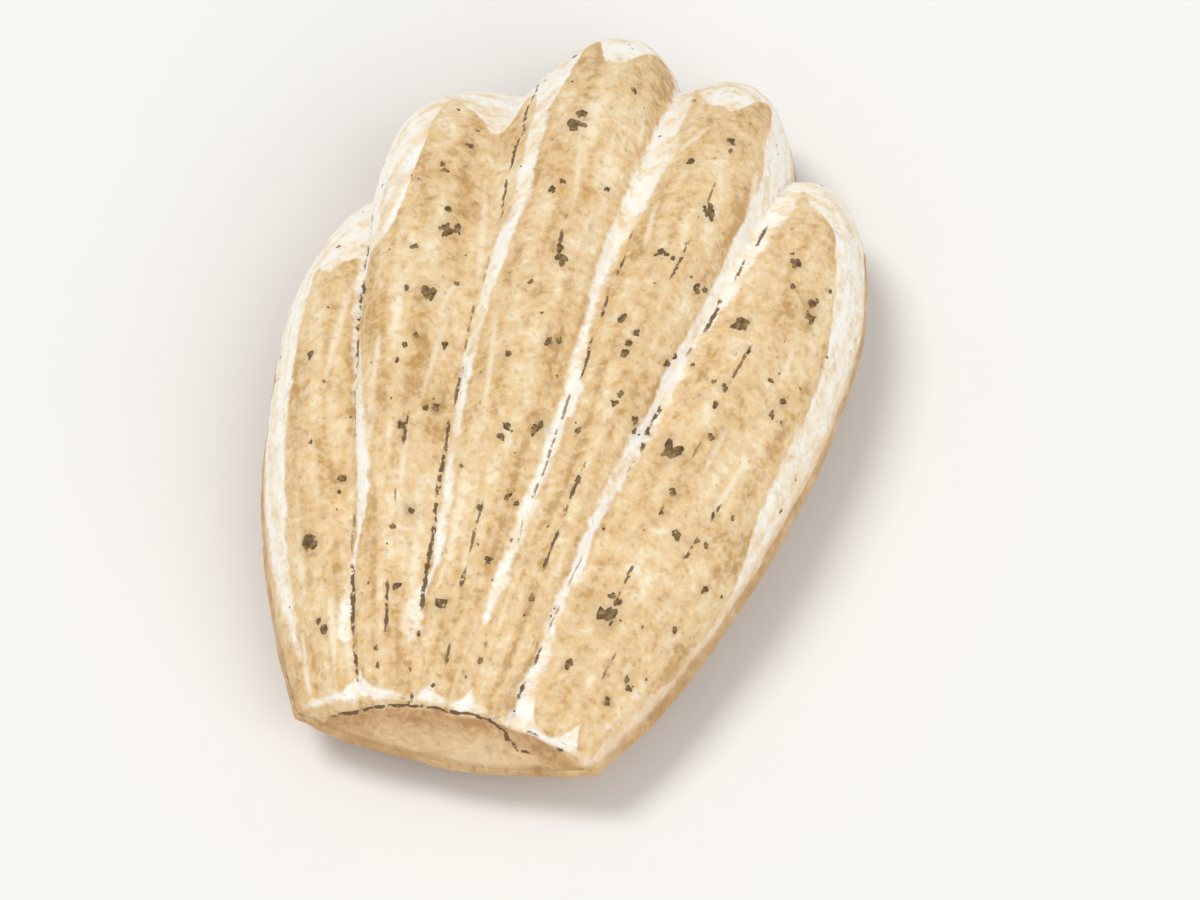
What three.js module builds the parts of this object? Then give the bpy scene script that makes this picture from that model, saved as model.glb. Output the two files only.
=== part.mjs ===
// A tea madeleine: a small shell-shaped sponge cake that lies on its humped back, fluted side up.
//
// Millimetres, +Z up. +Y runs from the narrow end to the scalloped end and +X is to the right.
// The origin is under the middle of the cake's outline, on the surface that the cake lies on.
//
// The fluted side is one surface over two coordinates. "s" counts the flutes across the cake:
// 0 is the left side, 5 the right side, and 1 to 4 are the grooves between the flutes. "along" is
// 0 on the foot of the narrow end and 1 on the scalloped rim. The back hangs under the same plan.

import * as THREE from "three";
import { mergeVertices } from "three/addons/utils/BufferGeometryUtils.js";

// Plan. Each line starts on the narrow end at footX and ends at its cusp on the scalloped rim.
// bow is how far its middle bends towards +X.
const LINES = [
  { footX: -15.1, cusp: [-25.2, 4.0], bow: -2.6 },
  { footX: -9.8, cusp: [-20.3, 18.3], bow: -0.8 },
  { footX: -4.9, cusp: [-9.1, 32.4], bow: -0.6 },
  { footX: -1.3, cusp: [5.0, 35.8], bow: 0.9 },
  { footX: 3.4, cusp: [17.2, 28.4], bow: 0.5 },
  { footX: 11.7, cusp: [26.0, 12.0], bow: 3.3 },
];
const FLUTES = LINES.length - 1;

// Each flute ends in a rounded nose between its two cusps. leaves and arrives are the rim's
// directions at them in degrees, and fullness is how far the nose stands out.
const NOSES = [
  { leaves: 90, arrives: 52, fullness: 1.0 },
  { leaves: 93, arrives: 2, fullness: 1.2 },
  { leaves: 61, arrives: -62, fullness: 1.36 },
  { leaves: 29, arrives: -78, fullness: 1.38 },
  { leaves: 12, arrives: -90, fullness: 1.0 },
];

// The narrow end: a low wall that leans back, with a curved foot and a rounded top edge.
const FOOT_Y = -34.0; // its two corners
const FOOT_BULGE = 1.2; // how far the middle of the foot stands out
const FOOT_DIP = 1.3; // and hangs down
const FOOT_DIP_LENGTH = 0.12; // share of the cake's length over which it hangs
const WALL_HEIGHT = 6.2; // at the middle
const WALL_LEAN = 2.7; // at the middle
const CORNER_LEAN = 0.3;
const LEAN_POWER = 0.7; // below 1, the lean changes mostly near the corners
const WALL_SWELL = 0.06; // how far the wall swells, for each millimetre of its height
const EDGE_RADIUS = 1.6;
const EDGE_SHARE_MOST = 0.45; // of the wall's height that the rounded edge may take

// Heights.
const RIM_HEIGHT = 6.0; // middle of the rim above the table
const RIM_THICKNESS = 1.4;
const DOME_HEIGHT = 14.3; // fluted side above the rim
const DOME_CREST = 0.58; // where along the cake the dome is highest
const SIDE_STEP = 0.05; // upright part of the dome's side, as a share of its height
const CORNER_POWER = 2.3; // how square the dome is across
const SIDE_POWER_NARROW = 0.78; // how steep its sides are at the narrow end
const SIDE_POWER_WIDE = 0.52; // and from SIDE_POWER_LENGTH on
const SIDE_POWER_LENGTH = 0.4; // share of the cake's length
const NOSE_POWER_GROOVE = 2.6; // how full the dome stays towards the rim, in a groove
const NOSE_POWER_CREST = 3.0; // and on a flute's crest
const NOSE_STEEPNESS = 0.52;

// Flutes.
const GROOVE_DEPTH = 0.15; // share of the height under it
const GROOVE_FADE = 0.35; // share of the depth left at the narrow end
const GROOVE_FADE_LENGTH = 0.35;
const GROOVE_ROUND = 0.5; // radius at the bottom of a groove
const FLUTE_POWER = 2.2; // how round a flute is across
const FLUTE_WIDTH_NARROW = 5;
const FLUTE_WIDTH_WIDE = 14;

// The back: a shallow swell under the rim, with a baked hump that ends in a flat spot.
const BACK_SWELL = 1.5;
const BACK_POWER = 8; // how near to the rim it swells
const HUMP_CENTRE = [0, 3];
const HUMP_HALF_SIZE = [20, 27];
const HUMP_FLAT = 0.42; // share of the hump that is flat
const HUMP_POWER = 1.4;

// Mesh rows and columns.
const COLUMNS_PER_FLUTE = 8;
const WALL_ROWS = 3;
const EDGE_ROWS = 3;
const SHELL_ROWS = 30;
const COLUMN_POWER = 1.5; // above 1, columns crowd towards the cake's two sides
const ROW_CROWDING = 0.6; // from 0 to 1, rows crowd towards the rim

const clamp = THREE.MathUtils.clamp;
const lerp = THREE.MathUtils.lerp;
const radians = THREE.MathUtils.degToRad;
const hill = (u) => 4 * u * (1 - u); // 0 at both ends, 1 in the middle

/** A value given on the lines 0 to 5, read between them. */
function between(s, values) {
  const left = Math.min(Math.floor(s), FLUTES - 1);
  return lerp(values[left], values[left + 1], s - left);
}

/** Length of the handle at one end of a curve that leaves its chord at one angle and comes back
 * to it at the other, after J. D. Hobby: equal angles give a near circular arc. */
function handleLength(chord, near, far) {
  const swing = (Math.sin(near) - Math.sin(far) / 16) * (Math.sin(far) - Math.sin(near) / 16);
  const above = 2 + Math.SQRT2 * swing * (Math.cos(near) - Math.cos(far));
  const root = Math.sqrt(5);
  return chord * above / (3 + 1.5 * (root - 1) * Math.cos(near) + 1.5 * (3 - root) * Math.cos(far));
}

/** A flute's nose: the curve from one cusp to the next. */
function noseCurve(from, to, { leaves, arrives, fullness }) {
  const start = new THREE.Vector2(...from);
  const end = new THREE.Vector2(...to);
  const chord = end.clone().sub(start);
  const near = radians(leaves) - Math.atan2(chord.y, chord.x);
  const far = Math.atan2(chord.y, chord.x) - radians(arrives);
  const handle = (degrees, length) => {
    const turned = radians(degrees);
    return new THREE.Vector2(Math.cos(turned), Math.sin(turned)).multiplyScalar(fullness * length);
  };
  return new THREE.CubicBezierCurve(
    start,
    start.clone().add(handle(leaves, handleLength(chord.length(), near, far))),
    end.clone().sub(handle(arrives, handleLength(chord.length(), far, near))),
    end,
  );
}

const RIM = NOSES.map((nose, i) => noseCurve(LINES[i].cusp, LINES[i + 1].cusp, nose));

/** The scalloped rim. */
function rimPoint(s) {
  const flute = Math.min(Math.floor(s), FLUTES - 1);
  return RIM[flute].getPoint(s - flute).toArray();
}

/** Share of the narrow end's width at s. */
function footShare(s) {
  const first = LINES[0].footX;
  const last = LINES[FLUTES].footX;
  return (between(s, LINES.map((line) => line.footX)) - first) / (last - first);
}

function footPoint(s) {
  const y = FOOT_Y - FOOT_BULGE * hill(footShare(s));
  return [between(s, LINES.map((line) => line.footX)), y];
}

/** Plan position at s and along. */
function planPoint(s, along) {
  const foot = footPoint(s);
  const rim = rimPoint(s);
  const bow = between(s, LINES.map((line) => line.bow)) * hill(along);
  return [lerp(foot[0], rim[0], along) + bow, lerp(foot[1], rim[1], along)];
}

/** Share of the length that the leaning end wall takes at s. */
function wallShare(s) {
  const foot = footPoint(s);
  const rim = rimPoint(s);
  const lean = CORNER_LEAN + (WALL_LEAN - CORNER_LEAN) * hill(footShare(s)) ** LEAN_POWER;
  return lean / Math.hypot(rim[0] - foot[0], rim[1] - foot[1]);
}

/** 0 in a groove and 1 on a flute's crest. The cake's two sides have no groove. */
function crown(s, along) {
  const flute = Math.min(Math.floor(s), FLUTES - 1);
  const share = s - flute;
  if (flute === 0 && share < 0.5) return 1;
  if (flute === FLUTES - 1 && share > 0.5) return 1;
  const width = lerp(FLUTE_WIDTH_NARROW, FLUTE_WIDTH_WIDE, along);
  const rounded = (distance) => Math.hypot(distance, GROOVE_ROUND) - GROOVE_ROUND;
  const fromGroove = rounded(Math.min(share, 1 - share) * width) / rounded(width / 2);
  return 1 - (1 - fromGroove) ** FLUTE_POWER;
}

/** The dome's height across the cake, from SIDE_STEP at the sides to 1 in the middle. */
function domeAcross(s, along) {
  const power = lerp(SIDE_POWER_NARROW, SIDE_POWER_WIDE, clamp(along / SIDE_POWER_LENGTH, 0, 1));
  const fromMiddle = Math.abs(2 * s / FLUTES - 1);
  return SIDE_STEP + (1 - SIDE_STEP) * (1 - fromMiddle ** CORNER_POWER) ** power;
}

/** The dome's height along a flute: it climbs from the end wall to the crest, then turns down. */
function domeAlong(shellShare, crowning) {
  const start = WALL_HEIGHT / DOME_HEIGHT;
  if (shellShare < DOME_CREST) {
    return start + (1 - start) * Math.sin((Math.PI / 2) * shellShare / DOME_CREST);
  }
  const past = (shellShare - DOME_CREST) / (1 - DOME_CREST);
  const power = lerp(NOSE_POWER_GROOVE, NOSE_POWER_CREST, crowning);
  return Math.max(0, 1 - past ** power) ** NOSE_STEEPNESS;
}

/** The fluted surface: shellShare is 0 on the wall's top edge and 1 on the scalloped rim. */
function shellPoint(s, shellShare) {
  const along = lerp(wallShare(s), 1, shellShare);
  const [x, y] = planPoint(s, along);
  const crowning = crown(s, along);
  const fade = lerp(GROOVE_FADE, 1, clamp(shellShare / GROOVE_FADE_LENGTH, 0, 1));
  const dome = DOME_HEIGHT * domeAcross(s, along) * domeAlong(shellShare, crowning);
  const height = dome * (1 - GROOVE_DEPTH * fade * (1 - crowning));
  return { point: new THREE.Vector3(x, y, RIM_HEIGHT + RIM_THICKNESS / 2 + height), along };
}

/** The rim's dip at the middle of the narrow end. */
function footDip(s, along) {
  return FOOT_DIP * hill(footShare(s)) * Math.max(0, 1 - along / FOOT_DIP_LENGTH) ** 2;
}

/** The end wall: rise is 0 on its foot and 1 on its top edge. */
function wallPoint(s, rise) {
  const [x, y] = planPoint(s, 0);
  const foot = new THREE.Vector3(x, y, RIM_HEIGHT + RIM_THICKNESS / 2 - footDip(s, 0));
  const top = shellPoint(s, 0).point;
  const point = foot.clone().lerp(top, rise);
  point.y -= WALL_SWELL * hill(rise) * (top.z - foot.z);
  return { point, along: wallShare(s) * rise };
}

/** The rounded edge between the end wall and the fluted surface: a curve of second order. */
function edgePoint(s, share) {
  const corner = shellPoint(s, 0);
  const below = wallPoint(s, 1 - edgeShare(s));
  const above = shellPoint(s, EDGE_RADIUS / cakeLength());
  const weights = [(1 - share) ** 2, 2 * share * (1 - share), share ** 2];
  const parts = [below, corner, above];
  const point = new THREE.Vector3();
  parts.forEach((part, i) => point.addScaledVector(part.point, weights[i]));
  const along = parts.reduce((sum, part, i) => sum + part.along * weights[i], 0);
  return { point, along };
}

/** Share of the end wall's height that its rounded edge takes at s. */
function edgeShare(s) {
  const height = wallPoint(s, 0).point.distanceTo(shellPoint(s, 0).point);
  return Math.min(EDGE_RADIUS / height, EDGE_SHARE_MOST);
}

function cakeLength() {
  return LINES[2].cusp[1] - FOOT_Y;
}

/** Height of the back under a plan position. It reaches 0 on the hump's flat spot. */
function backHeight(x, y, s, along) {
  const across = Math.sqrt(1 - Math.abs(2 * s / FLUTES - 1) ** BACK_POWER);
  const lengthwise = Math.sqrt(1 - Math.abs(2 * along - 1) ** BACK_POWER);
  const edge = RIM_HEIGHT - RIM_THICKNESS / 2 - footDip(s, along);
  const fromCentre = Math.hypot(
    (x - HUMP_CENTRE[0]) / HUMP_HALF_SIZE[0],
    (y - HUMP_CENTRE[1]) / HUMP_HALF_SIZE[1],
  );
  const slope = clamp((fromCentre - HUMP_FLAT) / (1 - HUMP_FLAT), 0, 1);
  const hump = (1 - slope ** 2) ** HUMP_POWER;
  return (edge - BACK_SWELL * across * lengthwise) * (1 - hump);
}

/** Columns across the cake, closer together at its two steep sides. */
function columns() {
  const list = [];
  for (let flute = 0; flute < FLUTES; flute += 1) {
    for (let i = 0; i < COLUMNS_PER_FLUTE; i += 1) {
      const share = i / COLUMNS_PER_FLUTE;
      if (flute === 0) list.push(share ** COLUMN_POWER);
      else if (flute === FLUTES - 1) list.push(flute + 1 - (1 - share) ** COLUMN_POWER);
      else list.push(flute + share);
    }
  }
  return [...list, FLUTES];
}

/** Rows along the cake, each a function of s, closer together at the steep noses. */
function rows() {
  const list = [];
  for (let i = 0; i < WALL_ROWS; i += 1) {
    list.push((s) => wallPoint(s, (i / WALL_ROWS) * (1 - edgeShare(s))));
  }
  for (let i = 0; i < EDGE_ROWS; i += 1) {
    list.push((s) => edgePoint(s, i / EDGE_ROWS));
  }
  const start = EDGE_RADIUS / cakeLength();
  for (let i = 0; i <= SHELL_ROWS; i += 1) {
    const even = i / SHELL_ROWS;
    const share = lerp(even, Math.sin(even * Math.PI / 2), ROW_CROWDING);
    list.push((s) => shellPoint(s, lerp(start, 1, share)));
  }
  return list;
}

/** The whole cake as one closed mesh: fluted side, back, and the rim band between them. */
function cakeGeometry() {
  const across = columns();
  const lengthwise = rows();
  const front = [];
  const back = [];
  for (const s of across) {
    for (const row of lengthwise) {
      const { point, along } = row(s);
      front.push(point);
      back.push(new THREE.Vector3(point.x, point.y, backHeight(point.x, point.y, s, along)));
    }
  }
  const points = [...front, ...back];
  const indices = [];
  const quad = (a, b, c, d) => indices.push(a, b, c, a, c, d);
  const at = (column, row) => column * lengthwise.length + row;
  const lastColumn = across.length - 1;
  const lastRow = lengthwise.length - 1;
  const under = front.length;
  for (let i = 0; i < lastColumn; i += 1) {
    for (let j = 0; j < lastRow; j += 1) {
      const corners = [at(i, j), at(i + 1, j), at(i + 1, j + 1), at(i, j + 1)];
      quad(...corners);
      quad(...corners.map((corner) => corner + under).reverse());
    }
  }
  const loop = [];
  for (let i = 0; i < lastColumn; i += 1) loop.push(at(i, 0));
  for (let j = 0; j < lastRow; j += 1) loop.push(at(lastColumn, j));
  for (let i = lastColumn; i > 0; i -= 1) loop.push(at(i, lastRow));
  for (let j = lastRow; j > 0; j -= 1) loop.push(at(0, j));
  loop.forEach((corner, i) => {
    const next = loop[(i + 1) % loop.length];
    quad(next, corner, corner + under, next + under);
  });
  const geometry = new THREE.BufferGeometry().setFromPoints(points);
  geometry.setIndex(indices);
  return mergeVertices(geometry);
}

/** Moves the origin under the middle of the outline. The flat spot is already at height 0. */
function centred(geometry) {
  geometry.computeBoundingBox();
  const middle = geometry.boundingBox.getCenter(new THREE.Vector3());
  geometry.translate(-middle.x, -middle.y, 0);
  return geometry;
}

function crumbMaterial() {
  return new THREE.MeshStandardMaterial({ color: 0xe5c697, roughness: 0.7, metalness: 0 });
}

const group = new THREE.Group();
const madeleine = new THREE.Mesh(centred(cakeGeometry()), crumbMaterial());
madeleine.name = "madeleine";
group.add(madeleine);

export default group;
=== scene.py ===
"""Looks of a tea madeleine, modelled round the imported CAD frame.

The cake is the CAD model's own surface, made again on a fine grid and given its crust: lumps,
pores, creases and notches as mesh, then colour, roughness and fine grain from its material. The tea
flecks are a second mesh, set in the crust. Sizes are millimetres, and MM makes them metres.

As in the CAD model, "s" counts the flutes across the cake, 0 on its left side and 5 on its right,
with a groove on 1 to 4, and "t" runs along a flute, 0 on the narrow end's edge and 1 on the rim.
"""
import math

import bmesh
import bpy
import numpy as np
from mathutils import Euler, Matrix, Vector, kdtree, noise
from numpy.linalg import norm


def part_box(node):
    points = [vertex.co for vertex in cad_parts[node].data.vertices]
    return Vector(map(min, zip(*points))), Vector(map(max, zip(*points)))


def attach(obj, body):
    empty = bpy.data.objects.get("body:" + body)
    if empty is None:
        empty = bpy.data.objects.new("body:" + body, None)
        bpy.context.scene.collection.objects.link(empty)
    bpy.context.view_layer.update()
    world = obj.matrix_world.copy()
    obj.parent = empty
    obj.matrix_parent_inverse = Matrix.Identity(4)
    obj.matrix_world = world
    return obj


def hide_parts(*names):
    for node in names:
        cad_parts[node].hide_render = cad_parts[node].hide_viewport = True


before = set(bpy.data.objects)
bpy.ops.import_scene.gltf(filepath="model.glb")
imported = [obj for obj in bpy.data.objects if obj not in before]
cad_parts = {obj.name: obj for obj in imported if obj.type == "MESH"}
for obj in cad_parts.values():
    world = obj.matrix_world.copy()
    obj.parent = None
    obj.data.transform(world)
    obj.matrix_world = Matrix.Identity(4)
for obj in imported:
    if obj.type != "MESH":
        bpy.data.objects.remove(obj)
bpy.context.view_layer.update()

MM = 0.001
SEED = 1913

# ---- The CAD model's sizes ----

FLUTES = 5
LINES = np.arange(FLUTES + 1)  # the two sides and the four grooves
FOOT_X = np.array([-15.1, -9.8, -4.9, -1.3, 3.4, 11.7])
CUSPS = np.array(
    [[-25.2, 4.0], [-20.3, 18.3], [-9.1, 32.4], [5.0, 35.8], [17.2, 28.4], [26.0, 12.0]]
)
BOWS = np.array([-2.6, -0.8, -0.6, 0.9, 0.5, 3.3])
NOSES = [  # the rim's direction where a nose leaves and arrives, in degrees, and its fullness
    (90, 52, 1.0),
    (93, 2, 1.2),
    (61, -62, 1.36),
    (29, -78, 1.38),
    (12, -90, 1.0),
]

FOOT_Y = -34.0
FOOT_BULGE = 1.2
FOOT_DIP = 1.3
FOOT_DIP_LENGTH = 0.12
WALL_HEIGHT = 6.2
WALL_LEAN = 2.7
CORNER_LEAN = 0.3
LEAN_POWER = 0.7
WALL_SWELL = 0.06
EDGE_RADIUS = 1.6
EDGE_SHARE_MOST = 0.45

RIM_HEIGHT = 6.0
RIM_THICKNESS = 1.4
DOME_HEIGHT = 14.3
DOME_CREST = 0.58
SIDE_STEP = 0.05
CORNER_POWER = 2.3
SIDE_POWER_NARROW = 0.78
SIDE_POWER_WIDE = 0.52
SIDE_POWER_LENGTH = 0.4
NOSE_POWER_GROOVE = 2.6
NOSE_POWER_CREST = 3.0
NOSE_STEEPNESS = 0.52

GROOVE_DEPTH = 0.15
GROOVE_FADE = 0.35
GROOVE_FADE_LENGTH = 0.35
GROOVE_ROUND = 0.5
FLUTE_POWER = 2.2
FLUTE_WIDTH_NARROW = 5.0
FLUTE_WIDTH_WIDE = 14.0

BACK_SWELL = 1.5
BACK_POWER = 8
HUMP_CENTRE = np.array([0.0, 3.0])
HUMP_HALF_SIZE = np.array([20.0, 27.0])
HUMP_FLAT = 0.42
HUMP_POWER = 1.4

# ---- The crust's sizes ----

def hundredths(*rows):
    """A table written in hundredths, be they of s, t, a share or a millimetre."""
    return np.array(rows) / 100


COLUMNS = [56, 40, 40, 40, 56]  # mesh columns of each flute
COLUMNS_EVEN_AT = 0.6  # the t at which a flute's columns are evenly spaced
WALL_ROWS = 24
EDGE_ROWS = 10
SHELL_ROWS = 286
FINE = np.linspace(0, 1, 4001)  # the places of a finely drawn curve's points
LIP_RINGS = 4
LIP_BULGE = 0.35  # how far the rim stands out
FAR = 5.0  # a distance at which a part of the cake doesn't count

FLOW_SIZE = (10.0, 70.0, 50.0)  # of the field that streaks follow: per flute, the length, the back
# How far each size of lump moves the surface: feature size, height, octaves.
LUMPS = [(16.0, 0.28, 2), (5.0, 0.14, 2), (1.9, 0.08, 2), (0.8, 0.045, 1)]
LUMP_SHIFT = 3.7  # keeps the noise of one size apart from the next one's
PORES = 420
PORE_RADIUS = (0.3, 0.85)
PORE_RARITY = 2.5  # how rare the large ones are
PORE_DEPTH = 0.34  # in radii, as the next three are
PORE_REACH = 1.6
PORE_LIP_AT = 1.15
PORE_LIP_WIDTH = 0.22
PORE_LIP = 0.25  # share of the depth
WRINKLE_HEIGHT = 0.09  # the fine wrinkles round the back's hump
WRINKLE_RATE = 46.0
WRINKLE_WOBBLE = 5.0
WRINKLE_WOBBLE_SIZE = 9.0
WRINKLE_SHIFT = 31.0
WRINKLE_RING = (0.55, 0.8, 1.1, 1.5)  # where they come and go, in the hump's half sizes
NOTCH_DEPTH = 0.45  # where a groove runs out over the narrow end's edge
NOTCH_WIDTH = 1.0
NOTCH_LENGTH = 2.4

CREASE_REACH = 1.0  # how far a crease is felt to its side
CREASE_WIDTH = 0.3
CREASE_DEPTH = 0.22
CREASE_STEP = 0.12
CREASE_TAPER = (-0.2, 0.7)
WALL_CREASE_TAPER = (0.0, 0.8)
CREASE_POINTS_LEAST = 8
CREASE_WANDER = 0.025  # of a flute's width
CREASE_WANDER_LENGTH = 4.0
CREASE_SHIFT = 7.3  # keeps the noise of one crease apart from the next one's
BESIDE = 0.01  # the step of s that shows which way is right
OUT_OF_WALL = (0.0, -1.0, 0.2)
# The creases in the grooves and along the flutes, broken into short pieces, sunk in the mesh and
# darkened
# as browned crust and painted shade: s and t at one end, s and t at the other, strength.
CREASES = hundredths(
    (102, 100, 102, 75, 80), (102, 73, 100, 62, 100), (101, 61, 103, 52, 80),
    (102, 51, 105, 40, 45), (102, 29, 102, 21, 50), (102, 20, 101, 8, 100), (104, 7, 105, 0, 90),
    (169, 37, 167, 32, 90), (161, 27, 162, 24, 50), (157, 14, 158, 6, 90),
    (206, 100, 208, 75, 100), (207, 74, 208, 66, 80), (206, 63, 206, 56, 40),
    (204, 54, 204, 46, 60), (204, 45, 202, 38, 80), (201, 37, 200, 10, 100), (260, 63, 258, 61, 50),
    (258, 60, 262, 55, 90), (252, 23, 252, 16, 70), (251, 15, 250, 12, 90), (256, 6, 259, 3, 80),
    (304, 9, 314, 6, 50), (306, 67, 306, 64, 70), (307, 63, 306, 59, 80), (306, 57, 306, 52, 80),
    (307, 50, 307, 43, 80), (304, 42, 304, 26, 60), (302, 24, 306, 20, 40), (353, 76, 355, 72, 60),
    (356, 70, 355, 69, 80), (356, 67, 353, 59, 80), (348, 32, 348, 30, 60), (348, 29, 349, 24, 80),
    (349, 23, 351, 17, 90), (350, 16, 351, 13, 60),
    (405, 84, 404, 79, 80), (404, 77, 404, 72, 70), (402, 69, 402, 62, 90), (400, 60, 399, 57, 50),
    (398, 49, 400, 41, 90), (399, 40, 396, 36, 40), (392, 26, 392, 18, 40), (391, 16, 393, 12, 50),
    (393, 10, 394, 7, 90), (395, 5, 396, 2, 100),
    (430, 63, 427, 55, 70), (430, 46, 430, 42, 50), (427, 35, 429, 33, 60), (430, 26, 431, 20, 80),
    (462, 42, 461, 38, 90), (460, 36, 458, 30, 80), (452, 14, 454, 9, 60),
)

# The crust is pale round its shoulder, partly less-browned crust and partly a painted highlight. On
# the noses the pale starts at (s, t), and on the two sides it starts at (t, s). It ends above the
# rim, which is baked golden, at (s, height).
PALE_NOSES = hundredths(
    (0, 86), (55, 87), (71, 80), (100, 80), (110, 74), (133, 70), (142, 71), (151, 76),
    (160, 84), (166, 93), (172, 93), (178, 89), (188, 88), (194, 82), (200, 87), (208, 96),
    (214, 84), (220, 79), (227, 84), (233, 96), (242, 96), (246, 89), (252, 88), (266, 90),
    (274, 95), (280, 97), (310, 97), (315, 91), (325, 89), (337, 88), (347, 88), (350, 93),
    (355, 96), (366, 97), (373, 90), (379, 87), (393, 87), (400, 93), (410, 97), (416, 90),
    (440, 90), (450, 87), (460, 85), (470, 82), (480, 75), (500, 70),
)
PALE_LEFT = hundredths((30, 25), (50, 32), (70, 42), (88, 55), (100, 60))
PALE_RIGHT = hundredths(
    (0, 488), (7, 491), (13, 495), (25, 498), (37, 498), (43, 493), (49, 484), (70, 481), (82, 473),
    (88, 446), (100, 430),
)
GOLDEN_RIM = hundredths(
    (0, 240), (80, 320), (100, 260), (140, 420), (200, 280), (240, 420), (290, 140), (320, 300),
    (370, 80), (400, 50), (420, 140), (450, 50),
)
# The pale band along each groove, a painted highlight on the flute's flank that is partly pale
# crust:
# t, how far it lies to the right of the groove, half width.
GROOVE_PALE_AND_HIGHLIGHT = [
    hundredths(
        (0, -20, -100), (5, -60, -100), (8, -70, 50), (12, -60, 40), (17, 0, 20), (22, 80, 30),
        (25, 150, 50), (28, 200, 80), (37, 230, 100), (46, 130, 90), (57, 60, 80), (68, 0, 80),
        (78, 160, 200),
    ),
    hundredths(
        (0, -40, -100), (4, -50, -100), (7, -60, 50), (11, -70, 70), (14, 30, 30), (16, 90, 40),
        (38, 130, 50), (44, 140, 70), (53, 200, 80), (61, 290, 110), (64, 370, 100), (67, 430, 90),
        (83, 460, 100), (88, 540, 140),
    ),
    hundredths(
        (8, 0, -100), (10, 0, 10), (13, 0, 30), (24, 30, 50), (35, 40, 70), (42, 60, 80),
        (45, 0, 50), (51, -10, 50), (58, -60, 60), (64, -50, 90), (68, 20, 120), (75, 70, 150),
        (87, 100, 120),
    ),
    hundredths(
        (0, 60, 40), (4, 0, 50), (10, 0, 40), (16, -90, 40), (20, -70, 50), (26, -120, 50),
        (31, -140, 70), (36, -140, 80), (44, -70, 80), (54, -80, 100), (57, -100, 70),
        (65, -40, 100), (70, -10, 130), (76, -40, 180), (84, -50, 250),
    ),
]

# Pale strokes on the flutes: s and t at one end, s and t at the other, half width.
PALE_STROKES = hundredths(
    (89, 70, 76, 57, 25), (74, 13, 75, 6, 30), (32, 9, 28, 1, 25),
    (125, 39, 116, 32, 30), (135, 50, 132, 46, 20), (153, 56, 151, 49, 20), (169, 33, 167, 28, 20),
    (187, 49, 180, 41, 20), (189, 56, 185, 53, 20), (197, 72, 202, 60, 25),
    (225, 46, 231, 36, 20), (249, 76, 258, 67, 20), (275, 63, 273, 59, 20), (289, 83, 291, 80, 25),
    (294, 77, 295, 74, 25),
    (313, 82, 315, 78, 30), (317, 69, 319, 64, 25), (329, 83, 321, 80, 30), (382, 84, 391, 80, 40),
    (440, 49, 441, 44, 20), (453, 68, 455, 64, 20), (460, 48, 460, 41, 25),
)
STROKE_POINTS = 40
STROKE_TAIL = 0.3  # share of its length by which a stroke tapers off beyond each end
PALE_ROUND = 0.05  # over how much of s or t the corners of these edges are rounded
PALE_REACH = 3.0  # how far outside the pale bands their field still counts
PALE_SOFT = 1.5  # and outside a pale stroke

# The flutes' baked colour ends in round lobes on the narrow end's edge, with pale wedges between
# them: the s of each wedge and its height. A thin pale line runs under the lobes, a painted
# highlight on the rounded edge.
WEDGES = hundredths(
    (0, 80), (112, 240), (240, 120), (314, 180), (411, 280), (460, 220), (500, 200),
)
WEDGE_POWER = 2.6
LOBES_FROM_RIM = 1.0
LOBE_HIGHLIGHT_LINE = (-1.25, -0.95)  # the line's two sides, as distances above the narrow end's edge

# The end wall: the creases under its arch, and where its face begins, browner crust that is partly
# painted shade, as s and the share of the wall's height.
WALL_CREASES = [
    hundredths(
        (47, 19), (77, 45), (132, 64), (197, 76), (266, 76), (325, 80), (361, 78), (391, 68),
        (411, 41), (431, 36),
    ),
    hundredths((412, 81), (431, 76)),
    hundredths((446, 70), (462, 54)),
    hundredths((448, 85), (455, 100)),
    hundredths((201, 97), (203, 78)),
]
WALL_FACE = hundredths(
    (44, 0), (50, 19), (77, 44), (132, 62), (197, 73), (266, 74), (361, 78), (416, 78), (431, 74),
    (452, 62), (474, 36), (490, 0),
)

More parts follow.
